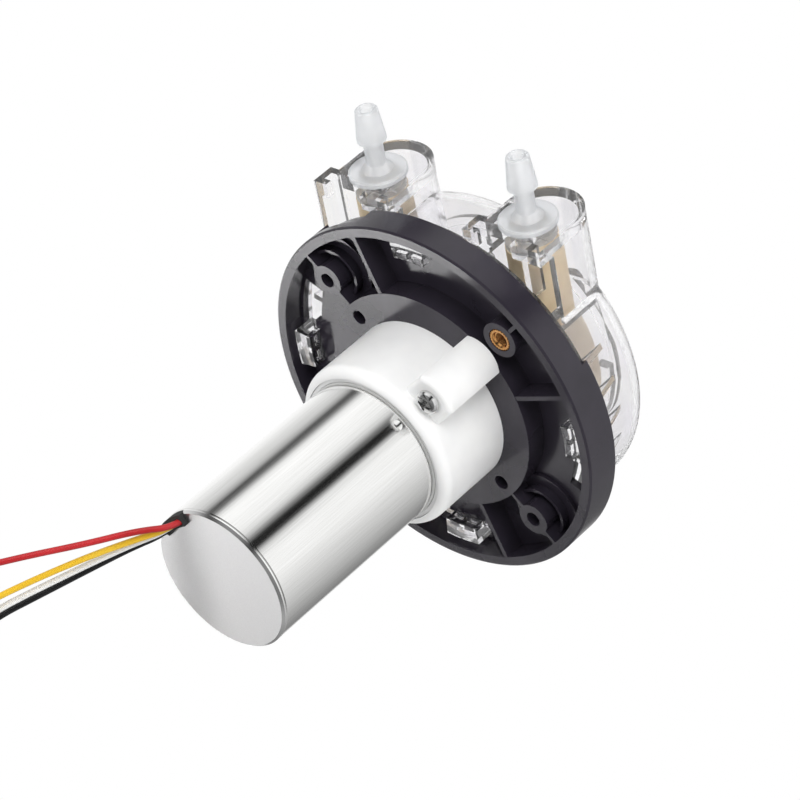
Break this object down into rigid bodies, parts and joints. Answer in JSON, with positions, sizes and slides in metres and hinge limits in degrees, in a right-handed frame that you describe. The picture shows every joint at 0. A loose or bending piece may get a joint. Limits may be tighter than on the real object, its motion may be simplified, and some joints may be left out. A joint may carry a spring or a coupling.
{
  "type": "peristaltic pump head",
  "caption": "Peristaltic pump head with a clear bayonet cover, hose barbs, a roller rotor, a dark panel ring, a planetary gearbox and a slim motor with flying leads.",
  "frame": {"origin": "on the pump axis, in the plane of the base ring's rear rim, which is the panel face", "axes": "+Y along the pump axis towards the motor, +Z towards the two hose barbs, +X to the right of +Z when looking along +Y"},
  "size_m": [0.0912, 0.1372, 0.1332],
  "materials": {
    "ring_plastic": "satin",
    "brass": "satin",
    "clear_plastic": "clear",
    "barb_plastic": "translucent",
    "tube_rubber": "satin",
    "white_plastic": "satin",
    "rotor_plastic": "satin",
    "roller_plastic": "satin",
    "steel": "polished",
    "screw_chrome": "polished",
    "motor_steel": "satin",
    "magnet": "matt",
    "laminations": "matt",
    "sintered_bronze": "matt",
    "black_rubber": "matt",
    "red_sleeve": "satin",
    "yellow_sleeve": "satin",
    "white_sleeve": "satin",
    "black_sleeve": "satin"
  },
  "bodies": {
    "base": {"base_ring": "ring_plastic", "threaded_inserts": "brass", "gearbox_housing": "white_plastic", "gearbox_screws": "screw_chrome", "ring_gear": "rotor_plastic", "motor_adapter": "white_plastic", "output_bush": "sintered_bronze", "motor_can": "motor_steel", "motor_end_cap": "motor_steel", "motor_bushes": "sintered_bronze", "stator_core": "laminations", "wire_grommet": "black_rubber", "lead_red": "red_sleeve", "lead_yellow": "yellow_sleeve", "lead_white": "white_sleeve", "lead_black": "black_sleeve"},
    "cover": {"clear_cover": "clear_plastic", "inlet_barb": "barb_plastic", "outlet_barb": "barb_plastic", "pump_tube": "tube_rubber"},
    "rotor": {"rotor_back": "rotor_plastic", "rotor_front": "rotor_plastic", "roller_pins": "steel", "rotor_screw": "screw_chrome", "output_shaft": "steel", "planet_carrier": "rotor_plastic"},
    "motor_rotor": {"sun_gear": "sintered_bronze", "motor_shaft": "steel", "magnet_rotor": "magnet"},
    "roller_1_body": {"roller_1": "roller_plastic"},
    "planet_1_body": {"planet_gear_1": "roller_plastic"},
    "roller_2_body": {"roller_2": "roller_plastic"},
    "planet_2_body": {"planet_gear_2": "roller_plastic"},
    "roller_3_body": {"roller_3": "roller_plastic"},
    "planet_3_body": {"planet_gear_3": "roller_plastic"}
  },
  "joints": [
    {"name": "cover_twist", "type": "hinge", "parent": "base", "child": "cover", "pos_m": [0, 0, 0], "axis": [0, -1, 0], "range_deg": [0, 17.5]},
    {"name": "rotor_spin", "type": "hinge", "parent": "base", "child": "rotor", "pos_m": [0, 0, 0], "axis": [0, 1, 0], "continuous": true},
    {"name": "motor_spin", "type": "hinge", "parent": "base", "child": "motor_rotor", "pos_m": [0, 0, 0], "axis": [0, 1, 0], "continuous": true},
    {"name": "roller_1_spin", "type": "hinge", "parent": "rotor", "child": "roller_1_body", "pos_m": [0.01355, 0, 0.00783], "axis": [0, 1, 0], "continuous": true},
    {"name": "roller_2_spin", "type": "hinge", "parent": "rotor", "child": "roller_2_body", "pos_m": [-0.01355, 0, 0.00783], "axis": [0, 1, 0], "continuous": true},
    {"name": "roller_3_spin", "type": "hinge", "parent": "rotor", "child": "roller_3_body", "pos_m": [0, 0, -0.01565], "axis": [0, 1, 0], "continuous": true},
    {"name": "planet_1_spin", "type": "hinge", "parent": "rotor", "child": "planet_1_body", "pos_m": [0, 0, 0.009], "axis": [0, 1, 0], "continuous": true},
    {"name": "planet_2_spin", "type": "hinge", "parent": "rotor", "child": "planet_2_body", "pos_m": [-0.00779, 0, -0.0045], "axis": [0, 1, 0], "continuous": true},
    {"name": "planet_3_spin", "type": "hinge", "parent": "rotor", "child": "planet_3_body", "pos_m": [0.00779, 0, -0.0045], "axis": [0, 1, 0], "continuous": true}
  ],
  "couplings": [
    {"joint": "motor_spin", "follows": "rotor_spin", "ratio": 5},
    {"joint": "roller_1_spin", "follows": "rotor_spin", "ratio": -3.6083},
    {"joint": "roller_2_spin", "follows": "rotor_spin", "ratio": -3.6083},
    {"joint": "roller_3_spin", "follows": "rotor_spin", "ratio": -3.6083},
    {"joint": "planet_1_spin", "follows": "rotor_spin", "ratio": -2.6667},
    {"joint": "planet_2_spin", "follows": "rotor_spin", "ratio": -2.6667},
    {"joint": "planet_3_spin", "follows": "rotor_spin", "ratio": -2.6667}
  ]
}
